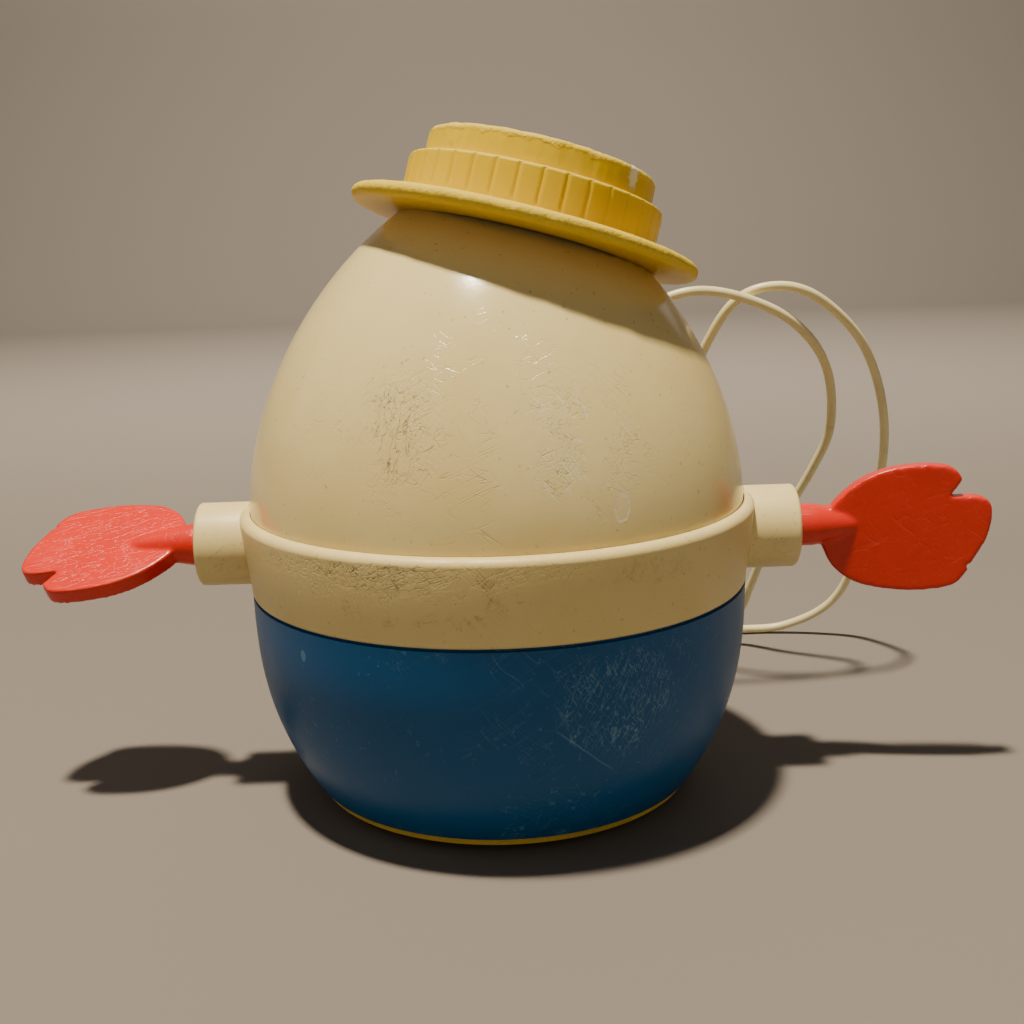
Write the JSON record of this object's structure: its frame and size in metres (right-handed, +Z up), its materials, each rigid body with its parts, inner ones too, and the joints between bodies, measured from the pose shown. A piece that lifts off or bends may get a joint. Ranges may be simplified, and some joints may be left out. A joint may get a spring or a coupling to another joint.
{
  "type": "pull-along toy figure",
  "caption": "Egg-shaped pull-along toy figure with a cocked hat, a pull cord and paddle hands that turn as its hidden wheels roll.",
  "frame": {"origin": "on the floor, under the axis of the egg-shaped body", "axes": "+X toward the hand on the side the hat leans to, +Y the way the toy is pulled, +Z up"},
  "size_m": [0.2216, 0.1675, 0.1487],
  "materials": {
    "cream_plastic": "worn, slightly yellowed gloss",
    "blue_plastic": "worn gloss with fine scratches",
    "yellow_plastic": "gloss, edges rubbed pale",
    "red_plastic": "gloss",
    "wheel_plastic": "matt, rubbed",
    "black_plastic": "gloss",
    "steel": "bright",
    "white_gear_plastic": "satin",
    "frame_plastic": "satin",
    "cord_plastic": "yellowed, slightly clear"
  },
  "bodies": {
    "toy": {"dome_shell": "cream_plastic", "belt_ring": "cream_plastic", "bowl_shell": "blue_plastic", "base_plate": "yellow_plastic", "hat": "yellow_plastic", "hat_screw": "steel", "idler_pin": "steel", "frame_plate_left": "frame_plastic", "frame_plate_right": "frame_plastic", "frame_spacers": "white_gear_plastic", "frame_ties": "steel", "frame_screws": "steel", "post_ring": "cream_plastic", "body_screws": "steel", "roller_pin": "steel", "eye_left": "black_plastic", "eye_right": "black_plastic", "nose": "red_plastic", "cord_bushing": "yellow_plastic", "cord_knot": "cord_plastic", "cord": "cord_plastic", "pull_bead": "cream_plastic", "bead_knot": "cord_plastic"},
    "arms": {"arm_shaft": "steel", "arm_gear": "white_gear_plastic", "shaft_collars": "white_gear_plastic", "hand_left": "red_plastic", "hand_right": "red_plastic"},
    "idler": {"idler_gear": "white_gear_plastic"},
    "drive_axle": {"wheel_axle": "steel", "axle_gear": "white_gear_plastic", "axle_sleeves": "white_gear_plastic", "wheel_left": "wheel_plastic", "wheel_right": "wheel_plastic", "axle_caps": "steel"},
    "roller": {"front_roller": "wheel_plastic"}
  },
  "joints": [
    {"name": "wheel_spin", "type": "hinge", "parent": "toy", "child": "drive_axle", "pos_m": [0, -0.01274, 0.014], "axis": [1, 0, 0], "continuous": true},
    {"name": "idler_spin", "type": "hinge", "parent": "toy", "child": "idler", "pos_m": [0, -0.00637, 0.0361], "axis": [1, 0, 0], "continuous": true},
    {"name": "arm_spin", "type": "hinge", "parent": "toy", "child": "arms", "pos_m": [0, 0, 0.0582], "axis": [1, 0, 0], "continuous": true},
    {"name": "roller_spin", "type": "hinge", "parent": "toy", "child": "roller", "pos_m": [0, 0.027, 0.007], "axis": [1, 0, 0], "continuous": true}
  ],
  "couplings": [
    {"joint": "idler_spin", "follows": "wheel_spin", "ratio": -0.53333},
    {"joint": "arm_spin", "follows": "wheel_spin", "ratio": 1}
  ]
}
